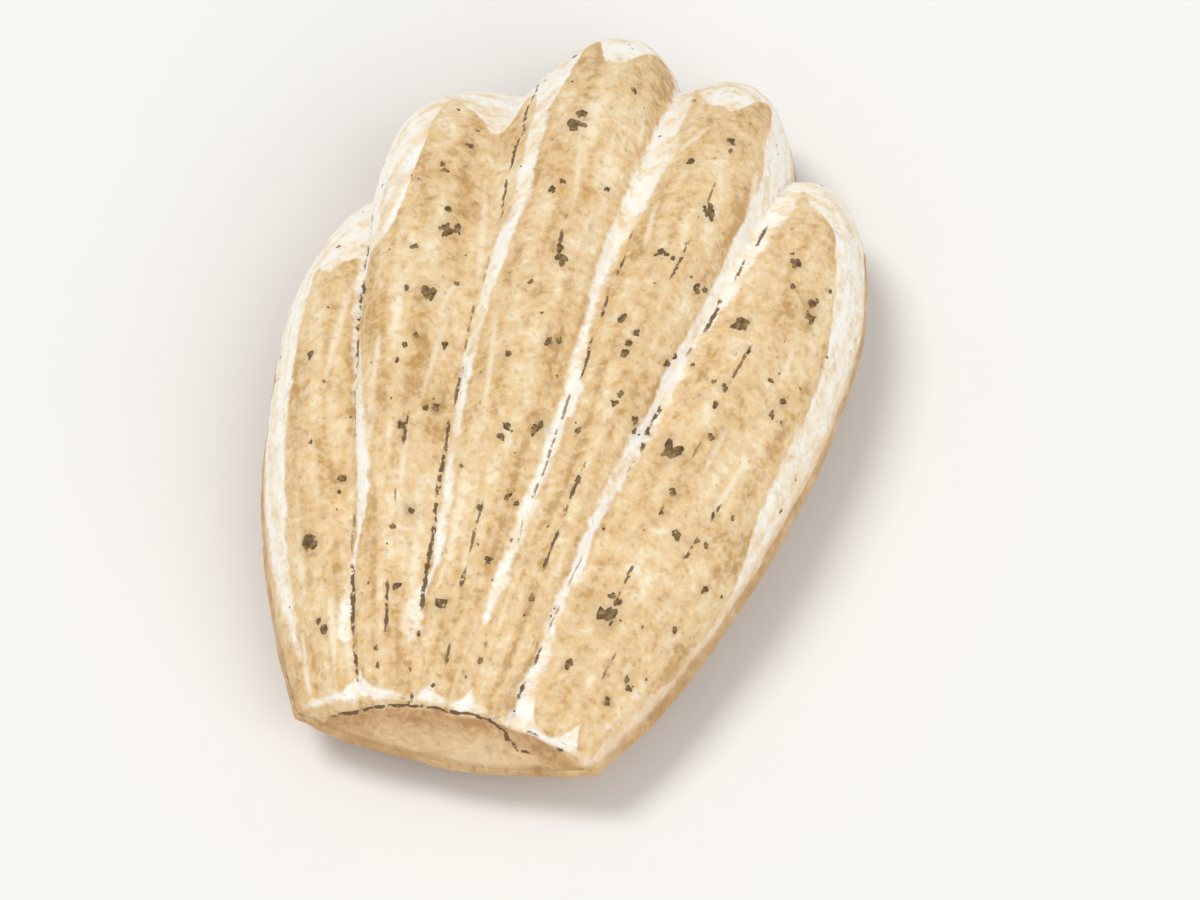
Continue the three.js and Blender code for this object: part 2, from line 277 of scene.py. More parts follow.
# Tea flecks that can be told apart: s, t and size.
FLECKS = hundredths(
    (58, 63, 90), (73, 55, 50), (90, 35, 80), (53, 26, 140), (59, 12, 60), (62, 10, 90),
    (185, 81, 80), (172, 77, 60), (175, 76, 60), (181, 69, 70), (179, 65.5, 130), (186, 66, 90),
    (160, 63, 70), (158, 56.5, 70), (175, 55, 140), (191, 57, 60), (169, 48, 60), (161, 47, 60),
    (190, 47.5, 80), (154, 45, 60), (183, 37.5, 60), (190, 38, 90), (165, 35, 80), (166, 33, 70),
    (179, 23, 140), (162, 21, 60), (169, 13, 70), (143, 5, 60),
    (201, 7, 60), (275, 85, 70), (248, 78, 120), (244, 76, 130), (251, 76, 60), (248, 67, 60),
    (241, 66, 70), (281, 69, 70), (244, 52, 60), (260, 57, 110), (262, 55.5, 110), (271, 44.5, 90),
    (282, 46, 70), (241, 41.5, 60), (256, 32.5, 70), (254, 31, 70), (289, 35.5, 150), (283, 34, 90),
    (279, 24.5, 70), (288, 24.5, 60), (252, 22, 60), (277, 16.5, 80), (225, 10.5, 120),
    (258, 4, 60), (312, 5, 70), (351, 83, 90), (355, 81.5, 60), (329, 77, 100), (361, 71.5, 140),
    (335, 62, 90), (342, 62, 50), (348, 62, 50), (381, 63, 100), (386, 65, 60), (326, 51.5, 80),
    (346, 50, 80), (340, 46.5, 80), (342, 48, 70), (388, 54, 60), (385, 52, 80), (354, 41.5, 70),
    (351, 40, 70), (327, 35.5, 70), (380, 41.5, 70), (385, 41, 80), (348, 29, 60), (349, 28, 70),
    (350, 13.5, 70), (429, 79, 110), (425, 80, 50), (434, 75.5, 60), (450, 77.5, 130),
    (452, 75.5, 120), (418, 64.5, 130), (420, 65.5, 70), (415, 64, 70), (429, 61.5, 60),
    (449, 61.5, 60), (427, 54.5, 80), (426, 51.5, 70), (462, 62.5, 90), (460, 59, 80),
    (434, 47, 70), (416, 42, 180), (429, 37, 80), (446, 32.5, 90), (460, 34.5, 60), (465, 35.5, 70),
    (481, 31.5, 80), (461, 39.5, 70), (426, 20, 70), (431, 19.5, 70), (429, 17.2, 190),
    (422, 9, 80), (479, 23, 70), (429, 33.5, 60), (470, 12, 60), (476, 11, 60), (468, 7.5, 80),
)
SPECKS = 100  # fine tea dust between them
SPECK_SIZE = (0.22, 0.55)
FLECK_THICKNESS = 0.42  # share of a fleck's size
FLECK_SUNK = 0.12
FLECK_LENGTH = (1.0, 1.35)  # of its size, and its width
FLECK_WIDTH = (0.8, 1.05)
FLECK_TURN = 0.6  # how far it is turned from the flute's direction, in radians
FLECK_LUMP = 0.55  # share of its size
FLECK_LUMPS = [(2.6, 1.0), (6.0, 0.55)]  # how fine each size of lump is, and its share
FLECK_HALO = 1.2
HALO_FULL_SIZE = 0.8  # a smaller fleck has a fainter halo
SPECKS_FROM_RIM = 2.0


def random_source(purpose):
    """A repeatable source of random numbers for one purpose."""
    return np.random.default_rng([SEED, purpose])


def hill(u):
    """0 at both ends, 1 in the middle."""
    return 4 * u * (1 - u)


def lerp(a, b, share):
    return a + (b - a) * share


def smooth(value, low, high):
    """0 below low, 1 above high, and a soft step between."""
    x = np.clip((value - low) / (high - low), 0, 1)
    return x * x * (3 - 2 * x)


# ---- The CAD model's surface ----

def handle_length(chord, near, far):
    """J. D. Hobby's handle length for a curve that leaves its chord at near and returns at far."""
    swing = (math.sin(near) - math.sin(far) / 16) * (math.sin(far) - math.sin(near) / 16)
    above = 2 + math.sqrt(2) * swing * (math.cos(near) - math.cos(far))
    root = math.sqrt(5)
    below = 3 + 1.5 * (root - 1) * math.cos(near) + 1.5 * (3 - root) * math.cos(far)
    return chord * above / below


def nose_controls(start, end, nose):
    """The four control points of one nose of the rim."""
    leaves, arrives = math.radians(nose[0]), math.radians(nose[1])
    chord = math.hypot(*(end - start))
    heading = math.atan2(*(end - start)[::-1])
    near, far = leaves - heading, heading - arrives
    out = nose[2] * handle_length(chord, near, far)
    back = nose[2] * handle_length(chord, far, near)
    first = start + out * np.array([math.cos(leaves), math.sin(leaves)])
    second = end - back * np.array([math.cos(arrives), math.sin(arrives)])
    return np.array([start, first, second, end])


CONTROLS = np.array([nose_controls(*nose) for nose in zip(CUSPS, CUSPS[1:], NOSES)])


def flute_of(s):
    return np.clip(np.floor(s), 0, FLUTES - 1).astype(int)


def rim_plan(s):
    """The scalloped rim in plan."""
    flute = flute_of(s)
    share = (s - flute)[..., None]
    p = CONTROLS[flute]
    near = p[..., 0, :] * (1 - share) ** 3 + 3 * p[..., 1, :] * share * (1 - share) ** 2
    return near + 3 * p[..., 2, :] * share ** 2 * (1 - share) + p[..., 3, :] * share ** 3


def foot_share(s):
    return (np.interp(s, LINES, FOOT_X) - FOOT_X[0]) / (FOOT_X[-1] - FOOT_X[0])


def foot_plan(s):
    y = FOOT_Y - FOOT_BULGE * hill(foot_share(s))
    return np.stack([np.interp(s, LINES, FOOT_X), y], axis=-1)


def plan(s, along):
    point = lerp(foot_plan(s), rim_plan(s), along[..., None])
    point[..., 0] += np.interp(s, LINES, BOWS) * hill(along)
    return point


def wall_share(s):
    """Share of the length that the leaning end wall takes."""
    lean = CORNER_LEAN + (WALL_LEAN - CORNER_LEAN) * hill(foot_share(s)) ** LEAN_POWER
    return lean / norm(rim_plan(s) - foot_plan(s), axis=-1)


def crown(s, along):
    """0 in a groove and 1 on a flute's crest. The cake's two sides have no groove."""
    share = s - flute_of(s)
    width = lerp(FLUTE_WIDTH_NARROW, FLUTE_WIDTH_WIDE, along)
    away = np.hypot(np.minimum(share, 1 - share) * width, GROOVE_ROUND) - GROOVE_ROUND
    most = np.hypot(width / 2, GROOVE_ROUND) - GROOVE_ROUND
    side = (s < 0.5) | (s > FLUTES - 0.5)
    return np.where(side, 1.0, 1 - np.abs(1 - away / most) ** FLUTE_POWER)


def dome_across(s, along):
    power = lerp(SIDE_POWER_NARROW, SIDE_POWER_WIDE, np.clip(along / SIDE_POWER_LENGTH, 0, 1))
    side = np.clip(1 - np.abs(2 * s / FLUTES - 1) ** CORNER_POWER, 0, 1)
    return SIDE_STEP + (1 - SIDE_STEP) * side ** power


def dome_along(t, crowning):
    start = WALL_HEIGHT / DOME_HEIGHT
    climb = start + (1 - start) * np.sin(math.pi / 2 * np.clip(t / DOME_CREST, 0, 1))
    past = np.clip((t - DOME_CREST) / (1 - DOME_CREST), 0, 1)
    power = lerp(NOSE_POWER_GROOVE, NOSE_POWER_CREST, crowning)
    return np.where(t < DOME_CREST, climb, np.clip(1 - past ** power, 0, 1) ** NOSE_STEEPNESS)


def shell(s, t):
    """Points of the fluted surface, and how far along the cake they are."""
    along = lerp(wall_share(s), 1, t)
    crowning = crown(s, along)
    fade = lerp(GROOVE_FADE, 1, np.clip(t / GROOVE_FADE_LENGTH, 0, 1))
    dome = DOME_HEIGHT * dome_across(s, along) * dome_along(t, crowning)
    z = RIM_HEIGHT + RIM_THICKNESS / 2 + dome * (1 - GROOVE_DEPTH * fade * (1 - crowning))
    return np.concatenate([plan(s, along), z[..., None]], axis=-1), along


def foot_dip(s, along):
    """The rim's dip at the middle of the narrow end."""
    return FOOT_DIP * hill(foot_share(s)) * np.clip(1 - along / FOOT_DIP_LENGTH, 0, 1) ** 2


def wall(s, rise):
    """Points of the end wall: rise is 0 on its foot and 1 on its top edge."""
    start = 0 * s
    z = RIM_HEIGHT + RIM_THICKNESS / 2 - foot_dip(s, start)
    foot = np.concatenate([plan(s, start), z[..., None]], axis=-1)
    top = shell(s, start)[0]
    point = lerp(foot, top, rise[..., None])
    point[..., 1] -= WALL_SWELL * hill(rise) * (top - foot)[..., 2]
    return point, wall_share(s) * rise


def wall_height(s):
    return norm(shell(s, 0 * s)[0] - wall(s, 0 * s)[0], axis=-1)


def edge_share(s):
    """Share of the end wall's height that its rounded edge takes."""
    return np.minimum(EDGE_RADIUS / wall_height(s), EDGE_SHARE_MOST)


FLUTE_LENGTH = CUSPS[2][1] - FOOT_Y
EDGE_LENGTH = EDGE_RADIUS / FLUTE_LENGTH  # the rounded edge's share of the flutes


def edge(s, share):
    """Points of the rounded edge between the end wall and the fluted surface."""
    below, below_along = wall(s, 1 - edge_share(s))
    corner, corner_along = shell(s, 0 * s)
    above, above_along = shell(s, 0 * s + EDGE_LENGTH)
    first, middle, last = (1 - share) ** 2, 2 * share * (1 - share), share ** 2
    point = below * first[..., None] + corner * middle[..., None] + above * last[..., None]
    return point, below_along * first + corner_along * middle + above_along * last


def from_hump(points):
    """How far points of the plan are from the hump's centre, in its half sizes."""
    return norm((points[..., :2] - HUMP_CENTRE) / HUMP_HALF_SIZE, axis=-1)


def back_height(points, s, along):
    """Height of the back under points of the plan."""
    across = np.sqrt(1 - np.abs(2 * s / FLUTES - 1) ** BACK_POWER)
    lengthwise = np.sqrt(np.clip(1 - np.abs(2 * along - 1) ** BACK_POWER, 0, 1))
    rim = RIM_HEIGHT - RIM_THICKNESS / 2 - foot_dip(s, along)
    slope = np.clip((from_hump(points) - HUMP_FLAT) / (1 - HUMP_FLAT), 0, 1)
    hump = (1 - slope ** 2) ** HUMP_POWER
    return (rim - BACK_SWELL * across * lengthwise) * (1 - hump)


# ---- The fine grid ----

def even_steps(points, count):
    """The places, 0 to 1, that cut a finely drawn curve into pieces of one length."""
    steps = norm(np.diff(points, axis=0), axis=1)
    length = np.concatenate([[0], np.cumsum(steps)])
    return np.interp(np.linspace(0, length[-1], count + 1), length, FINE)


def column_places():
    """s of each mesh column. Each groove has one."""
    places = []
    for flute, count in enumerate(COLUMNS):
        across = shell(flute + FINE, 0 * FINE + COLUMNS_EVEN_AT)[0]
        places.append(flute + even_steps(across, count)[:-1])
    return np.concatenate([*places, [FLUTES]])


def grid():
    """The fluted surface and the end wall on a fine grid, column by column: points, s, along, t,
    and how far each point is from the top of the end wall, below 0 on the wall."""
    s = column_places()
    along_crest = shell(0 * FINE + FLUTES / 2, lerp(EDGE_LENGTH, 1, FINE))[0]
    rows = []
    for rise in np.arange(WALL_ROWS) / WALL_ROWS:
        share = rise * (1 - edge_share(s))
        rows.append((*wall(s, share), 0 * s, (share - 1) * wall_height(s)))
    for share in np.arange(EDGE_ROWS) / EDGE_ROWS:
        from_top = lerp(-edge_share(s) * wall_height(s), EDGE_RADIUS, share)
        rows.append((*edge(s, 0 * s + share), 0 * s + EDGE_LENGTH * share, from_top))
    for share in even_steps(along_crest, SHELL_ROWS):
        t = 0 * s + lerp(EDGE_LENGTH, 1, share)
        rows.append((*shell(s, t), t, t * FLUTE_LENGTH))
    points, along, t, from_top = (np.stack(part, axis=1) for part in zip(*rows))
    return points, np.broadcast_to(s[:, None], t.shape), along, t, from_top


def boundary(columns, rows):
    """The grid places round a patch, in one loop."""
    loop = [(i, 0) for i in range(columns - 1)]
    loop += [(columns - 1, j) for j in range(rows - 1)]
    loop += [(i, rows - 1) for i in range(columns - 1, 0, -1)]
    loop += [(0, j) for j in range(rows - 1, 0, -1)]
    return np.array(loop)


def patch_faces(columns, rows, first, facing_up):
    """The quads of a patch of columns by rows whose vertices start at first."""
    at = first + np.arange(columns * rows).reshape(columns, rows)
    quads = np.stack([at[:-1, :-1], at[1:, :-1], at[1:, 1:], at[:-1, 1:]], axis=-1).reshape(-1, 4)
    return quads if facing_up else quads[:, ::-1]


def ring_faces(upper, lower):
    """The quads between two loops of the same length."""
    return np.stack([np.roll(upper, -1), upper, lower, np.roll(lower, -1)], axis=-1)


def closing_faces(upper, lower):
    """The triangles between a loop and one with half as many points."""
    here, middle, after = upper[::2], upper[1::2], np.roll(upper, -2)[::2]
    then = np.roll(lower, -1)
    corners = [(middle, here, lower), (middle, lower, then), (after, middle, then)]
    return np.concatenate([np.stack(three, axis=-1) for three in corners])


def rim_rings(top, bottom):
    """Points of the rounded lip between the loops of the two sides."""
    out = np.cross(np.roll(top, -1, axis=0) - np.roll(top, 1, axis=0), [0, 0, 1])
    out /= norm(out, axis=1, keepdims=True)
    shares = np.arange(1, LIP_RINGS + 1) / (LIP_RINGS + 1)
    return [
        lerp(top, bottom, share) + out * LIP_BULGE * math.sin(math.pi * share) for share in shares
    ]


def vertex_normals(points, faces):
    """Normals, weighted by the faces' areas. The cross product serves triangles and quads."""
    normals = np.zeros_like(points)
    for face in faces:
        corner = points[face]
        area = np.cross(corner[:, 2] - corner[:, 0], corner[:, -1] - corner[:, 1])
        for column in face.T:
            np.add.at(normals, column, area)
    return normals / norm(normals, axis=1, keepdims=True)


# ---- The crust's relief ----

def fractal(points, size, octaves, shift):
    """Noise with one feature size, about -1 to 1."""
    moved = points / size + shift
    return np.array([noise.fractal(Vector(p), 1.0, 2.0, octaves) for p in moved.tolist()])


def near_points(points):
    """A search tree over points."""
    tree = kdtree.KDTree(len(points))
    for i, point in enumerate(points.tolist()):
        tree.insert(point, i)
    tree.balance()
    return tree


def found_near(tree, place, reach):
    """The numbers of the tree's points within reach of a place, and how far away they are."""
    found = tree.find_range(Vector(place), reach)
    return np.array([hit[1] for hit in found], dtype=int), np.array([hit[2] for hit in found])


def pore_relief(points, weights, tree):
    """Open pores: how far they move the surface, and how deep in a pore a point is, 0 to 1."""
    source = random_source(1)
    relief = np.zeros(len(points))
    inside = np.zeros(len(points))
    centres = source.choice(len(points), PORES, replace=False, p=weights / weights.sum())
    radii = lerp(*PORE_RADIUS, source.random(PORES) ** PORE_RARITY)
    for centre, radius in zip(centres, radii):
        index, away = found_near(tree, points[centre], radius * PORE_REACH)
        x = away / radius
        bowl = np.clip(1 - x * x, 0, 1) ** 1.5
        lip = PORE_LIP * np.exp(-(((x - PORE_LIP_AT) / PORE_LIP_WIDTH) ** 2))
        relief[index] += PORE_DEPTH * radius * (lip - bowl)
        inside[index] = np.maximum(inside[index], bowl)
    return relief, inside


def crease_steps(points):
    """Even steps, 0 to 1, along a crease through points, and its length."""
    length = norm(np.diff(points, axis=0), axis=1).sum()
    return np.linspace(0, 1, max(CREASE_POINTS_LEAST, int(length / CREASE_STEP))), length


def crease_paths():
    """Each crease as points on the CAD surface, with directions to its right, and its strength."""
    paths = []
    for number, (start_s, start_t, end_s, end_t, power) in enumerate(CREASES):
        ends = shell(np.array([start_s, end_s]), np.array([start_t, end_t]))[0]
        share, length = crease_steps(ends)
        places = share * length / CREASE_WANDER_LENGTH
        wander = [noise.noise(Vector((CREASE_SHIFT * number, x, 0.5))) for x in places]
        s = lerp(start_s, end_s, share) + CREASE_WANDER * np.array(wander)
        t = lerp(start_t, end_t, share)
        right = shell(s + BESIDE, t)[0] - shell(s - BESIDE, t)[0]
        from_end = np.minimum(share, 1 - share) * length
        paths.append((shell(s, t)[0], right, power * smooth(from_end, *CREASE_TAPER)))
    return paths + [wall_crease(line) for line in WALL_CREASES]


def wall_crease(line):
    """A crease on the end wall, as the crease paths are, along a line of s and rise."""
    share, length = crease_steps(wall(*line.T)[0])
    s = lerp(line[0, 0], line[-1, 0], share)
    points = wall(s, np.interp(s, *line.T))[0]
    above = np.cross(np.gradient(points, axis=0), OUT_OF_WALL)
    from_end = np.minimum(share, 1 - share) * length
    return points, above, smooth(from_end, *WALL_CREASE_TAPER)


def crease_fields(points, tree):
    """Signed distance to the nearest crease, and that crease's strength."""
    distance = np.full(len(points), CREASE_REACH)
    nearest = np.full(len(points), np.inf)
    strength = np.zeros(len(points))
    for path in crease_paths():
        for point, side, force in zip(*path):
            index, away = found_near(tree, point, CREASE_REACH)
            better = away < nearest[index]
            index, away = index[better], away[better]
            nearest[index] = away
            distance[index] = np.copysign(away, (points[index] - point) @ side)
            strength[index] = force * smooth(CREASE_REACH - away, 0, 0.5 * CREASE_REACH)
    return distance, strength


# ---- Where the crust is pale ----

def groove_distances(points, s, t):
    """Signed distance of each grid point from each groove, to its right above 0."""
    distances = []
    for groove in range(1, FLUTES):
        away = norm(points - shell(0 * t + groove, t)[0], axis=-1)
        distances.append(np.where(s < groove, -away, away))
    return distances


def rim_distances(points, s, t):
    """Distance of each grid point from the scalloped rim and from the two sides."""
    lines = [(s, 0 * t + 1), (0 * s, t), (0 * s + FLUTES, t)]
    return [norm(points - shell(*line)[0], axis=-1) for line in lines]


def stroke_field(points, tree):
    """How far inside the pale strokes a point is, in millimetres, below 0 outside them."""
    field = np.full(len(points), -PALE_SOFT)
    for start_s, start_t, end_s, end_t, half_width in PALE_STROKES:
        share = np.linspace(-STROKE_TAIL, 1 + STROKE_TAIL, STROKE_POINTS)
        path = shell(lerp(start_s, end_s, share), lerp(start_t, end_t, share))[0]
        taper = half_width * np.sqrt(hill(np.linspace(0, 1, STROKE_POINTS)))
        for point, width in zip(path, taper):
            index, away = found_near(tree, point, width + PALE_SOFT)
            field[index] = np.maximum(field[index], width - away)
    return field


def lobe_wedges(s, from_top):
    """How far inside the pale wedges and the painted highlight line above the narrow end a grid
    point is.
    """
    after = np.clip(np.searchsorted(WEDGES[:, 0], s[:, 0], side="right"), 1, len(WEDGES) - 1)
    left, right = WEDGES[after - 1, 0][:, None], WEDGES[after, 0][:, None]
    from_middle = np.abs(2 * (s - left) / (right - left) - 1)
    height = LOBE_HIGHLIGHT_LINE[1] + np.interp(s, *WEDGES.T) * from_middle ** WEDGE_POWER
    return np.minimum(height - from_top, from_top - LOBE_HIGHLIGHT_LINE[0])


def eased(places, table):
    """A table's second column at places of its first, with the corners rounded."""
    shifts = np.linspace(-PALE_ROUND, PALE_ROUND, 7)
    return np.mean([np.interp(places + shift, *table.T) for shift in shifts], axis=0)


def pale_and_highlight_bands(points, s, t, to_rim, from_top):
    """How far inside the pale bands, partly pale crust and partly painted highlight, a grid point
    is, in millimetres, below 0 outside them.
    """
    field = np.full(t.shape, -PALE_REACH)
    noses, left, right = eased(s, PALE_NOSES), eased(t, PALE_LEFT), eased(t, PALE_RIGHT)
    starts = [(s, noses, t - noses), (left, t, left - s), (right, t, s - right)]
    for start_s, start_t, side in starts:
        away = norm(points - shell(start_s, start_t)[0], axis=-1)
        field = np.maximum(field, np.sign(side) * away)
    golden = np.interp(s, *GOLDEN_RIM.T)  # where it is high, it fades out softly
    field = np.minimum(field, (to_rim - golden) / (1 + golden / 2))
    for band, distance in zip(GROOVE_PALE_AND_HIGHLIGHT, groove_distances(points, s, t)):
        places, shift, half_width = band.T
        from_band = np.abs(distance - np.interp(t, places, shift))
        inside = np.interp(t, places, half_width) - from_band
        field = np.maximum(field, np.where(from_top > 0, inside, -PALE_REACH))
    return np.maximum(field, np.minimum(lobe_wedges(s, from_top), to_rim - LOBES_FROM_RIM))


# ---- The cake ----

def cake_shape():
    """The cake's mesh and its fields: a dict with points, faces and one value a vertex for each."""
    top, s, along, t, from_top = grid()
    columns, rows = t.shape
    under_s, under_along = s[::2, ::2], along[::2, ::2]
    under = top[::2, ::2].copy()
    under[..., 2] = back_height(under, under_s, under_along)

    top_loop = boundary(columns, rows)
    under_loop = boundary(*under_s.shape)
    at_rim = tuple(top_loop.T)
    rim_top, rim_s, rim_along = top[at_rim], s[at_rim], along[at_rim]
    rim_bottom = rim_top.copy()
    rim_bottom[:, 2] = back_height(rim_top, rim_s, rim_along)
    rings = rim_rings(rim_top, rim_bottom)

    points = np.concatenate([top.reshape(-1, 3), *rings, under.reshape(-1, 3)])
    top_count, ring_count = columns * rows, len(top_loop)
    under_first = top_count + LIP_RINGS * ring_count
    loops = [top_loop @ [rows, 1]]
    loops += [top_count + ring * ring_count + np.arange(ring_count) for ring in range(LIP_RINGS)]
    under_ids = under_first + under_loop @ [under_s.shape[1], 1]
    faces = [patch_faces(columns, rows, 0, True)]
    faces += [ring_faces(upper, lower) for upper, lower in zip(loops, loops[1:])]
    faces += [patch_faces(*under_s.shape, under_first, False), closing_faces(loops[-1], under_ids)]

    def whole(top_values, rim_values, under_values):
        """One value a vertex, from the grid's values, the lip's and the back's."""
        lip = [rim_values + np.zeros(ring_count)] * LIP_RINGS
        return np.concatenate([top_values.ravel(), *lip, (under_values + 0 * under_s).ravel()])

    foot = from_top + wall_height(s)
    to_rim = np.min([*rim_distances(top, s, t), np.clip(foot, 0, None)], axis=0)
    groove = np.min(np.abs(groove_distances(top, s, t)), axis=0)
    return {
        "points": points,
        "faces": faces,
        "column_s": s[:, 0],
        "t": t,
        "s": whole(s, rim_s, under_s),
        "along": whole(along, rim_along, under_along),
        "pale": whole(pale_and_highlight_bands(top, s, t, to_rim, from_top), -PALE_REACH, -PALE_REACH),
        "rim": whole(to_rim, 0.0, 0.0),
        "groove": whole(groove, FAR, FAR),
        "wall": whole(-from_top, -FAR, -FAR),
        "face": whole(-from_top - (1 - np.interp(s, *WALL_FACE.T)) * wall_height(s), -FAR, -FAR),
        "under": whole(0 * t, 0.5, 1.0),
    }


def notch_relief(shape):
    """The little notches where the grooves run out over the narrow end's edge."""
    across = np.exp(-((shape["groove"] / NOTCH_WIDTH) ** 2))
    lengthwise = np.exp(-((shape["wall"] / NOTCH_LENGTH) ** 2))
    return -NOTCH_DEPTH * across * lengthwise


def back_relief(points, under):
    """Fine wrinkles round the hump of the back."""
    away = from_hump(points)
    wobble = fractal(points, WRINKLE_WOBBLE_SIZE, 2, WRINKLE_SHIFT)
    wrinkles = np.sin(away * WRINKLE_RATE + WRINKLE_WOBBLE * wobble)
    ring = smooth(away, *WRINKLE_RING[:2]) * (1 - smooth(away, *WRINKLE_RING[2:]))
    return under * WRINKLE_HEIGHT * ring * wrinkles


def areas_round(points, faces):
    """The area round each vertex, for scattering things evenly."""
    areas = np.zeros(len(points))
    for face in faces:
        first, second, last = points[face[:, 0]], points[face[:, 1]], points[face[:, -1]]
        size = norm(np.cross(second - first, last - first), axis=1)
        for column in face.T:
            np.add.at(areas, column, size)
    return areas


def with_crust(shape):
    """The cake's shape with the crust's relief, and the fields that its colours need."""
    points, faces = shape["points"], shape["faces"]
    tree = near_points(points)
    areas = areas_round(points, faces)
    relief = sum(
        height * fractal(points, size, octaves, LUMP_SHIFT * number)
        for number, (size, height, octaves) in enumerate(LUMPS)
    )
    pores, in_pore = pore_relief(points, areas, tree)
    distance, strength = crease_fields(points, tree)
    valley = np.exp(-((distance / CREASE_WIDTH) ** 2))
    relief += pores - CREASE_DEPTH * valley * strength
    relief += notch_relief(shape) + back_relief(points, shape["under"])
    moved = points + vertex_normals(points, faces) * relief[:, None]
    moved[:, 2] = np.maximum(moved[:, 2], 0)
    moved[:, :2] += shift_to_frame(points)
    shape.update(points=moved, normals=vertex_normals(moved, faces), areas=areas)
    shape.update(pore=in_pore, crease=distance, crease_force=strength)
    shape["stroke"] = stroke_field(points, tree)
    return shape


def shift_to_frame(points):
    """How far the CAD surface made here is from the CAD node's place in the frame."""
    low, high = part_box("madeleine")
    middle = (np.array(low) + np.array(high))[:2] / 2 / MM
    return middle - (points[:, :2].min(axis=0) + points[:, :2].max(axis=0)) / 2


def add_field(mesh, name, values):
    values = np.asarray(values, dtype=np.float32)
    kind, key = ("FLOAT", "value") if values.ndim == 1 else ("FLOAT_VECTOR", "vector")
    mesh.attributes.new(name, kind, "POINT").data.foreach_set(key, values.ravel())


def add_object(name, data):
    made = bpy.data.objects.new(name, data)
    bpy.context.scene.collection.objects.link(made)
    return made


def mesh_object(name, points, faces):
    mesh = bpy.data.meshes.new(name)
    all_faces = [face for group in faces for face in group.tolist()]
    mesh.from_pydata((points * MM).tolist(), [], all_faces)
    mesh.shade_smooth()
    return add_object(name, mesh)


def cake_object(shape):
    made = mesh_object("cake", shape["points"], shape["faces"])
    side = np.where(shape["under"] > 0.5, 1.0, 0.0)
    flow = np.stack([shape["s"], shape["along"], side], axis=-1) * FLOW_SIZE
    add_field(made.data, "flow", flow)
    fields = ("pale", "stroke", "rim", "face", "under", "pore", "crease", "crease_force", "halo")
    for name in fields:
        add_field(made.data, name, shape[name])
    return made


# ---- The tea flecks ----

def fleck_places(shape):
    """Every fleck as a vertex of the cake and a size."""
    source = random_source(2)
    t = shape["t"]
    first = WALL_ROWS + EDGE_ROWS
    places = []
    for at_s, at_t, size in FLECKS:
        column = np.argmin(np.abs(shape["column_s"] - at_s))
        row = first + np.argmin(np.abs(t[column, first:] - at_t))
        places.append((column * t.shape[1] + row, size))
    on_flutes = (shape["wall"] < 0) & (shape["rim"] > SPECKS_FROM_RIM)
    keep = (shape["areas"] * on_flutes)[:t.size]
    dust = source.choice(t.size, SPECKS, replace=False, p=keep / keep.sum())
    sizes = lerp(*SPECK_SIZE, source.random(SPECKS) ** 2)
    return places + list(zip(dust, sizes))


def halo_field(shape, places):
    """How near a fleck a point of the crust is, 0 to 1."""
    halo = np.zeros(len(shape["points"]))
    tree = near_points(shape["points"])
    for vertex, size in places:
        reach = FLECK_HALO * size
        index, away = found_near(tree, shape["points"][vertex], reach)
        near = (1 - away / reach) * min(1, size / HALO_FULL_SIZE)
        halo[index] = np.maximum(halo[index], near)
    return halo


def fleck_bit(size, source):
    """One bit of tea leaf: a small flat, angular lump."""
    made = bmesh.new()
    bmesh.ops.create_icosphere(made, subdivisions=3 if size > 0.5 else 2, radius=0.5)
    length, width = source.uniform(*FLECK_LENGTH), source.uniform(*FLECK_WIDTH)
    stretch = Matrix.Diagonal((size * length, size * width, size * FLECK_THICKNESS))
    shift = Vector(source.uniform(-50, 50, 3))
    points = []
    for vertex in made.verts:
        lump = sum(share * noise.noise(vertex.co * fine + shift) for fine, share in FLECK_LUMPS)
        points.append(stretch @ (vertex.co * (1 + FLECK_LUMP * lump)))
    faces = np.array([[vertex.index for vertex in face.verts] for face in made.faces])
    made.free()
    return np.array(points), faces


def fleck_frame(shape, vertex, turn):
    """Axes at a vertex of the crust: along the flute, turned a little, then aside, then out."""
    points, rows = shape["points"], shape["t"].shape[1]
    behind = vertex if (vertex + 1) % rows else vertex - 1
    out, ahead = Vector(shape["normals"][vertex]), Vector(points[behind + 1] - points[behind])
    ahead = (Matrix.Rotation(turn, 3, out) @ (ahead - out * ahead.dot(out))).normalized()
    return np.array([ahead, out.cross(ahead), out]).T


def flecks_object(shape, places):
    """All flecks as one mesh, each half sunk in the crust."""
    source = random_source(3)
    all_points, all_faces, count = [], [], 0
    for vertex, size in places:
        points, faces = fleck_bit(size, source)
        axes = fleck_frame(shape, vertex, source.normal(0, FLECK_TURN))
        base = shape["points"][vertex] - axes[:, 2] * FLECK_SUNK * size
        all_points.append(base + points @ axes.T)
        all_faces.append(faces + count)
        count += len(points)
    return mesh_object("tea_flecks", np.concatenate(all_points), all_faces)


# ---- Materials ----

def colour(red, green, blue):
    """A colour as seen on a screen, 0 to 255, in Blender's linear numbers."""
    parts = [part / 255 for part in (red, green, blue)]
    return (*[p / 12.92 if p <= 0.04045 else ((p + 0.055) / 1.055) ** 2.4 for p in parts], 1.0)


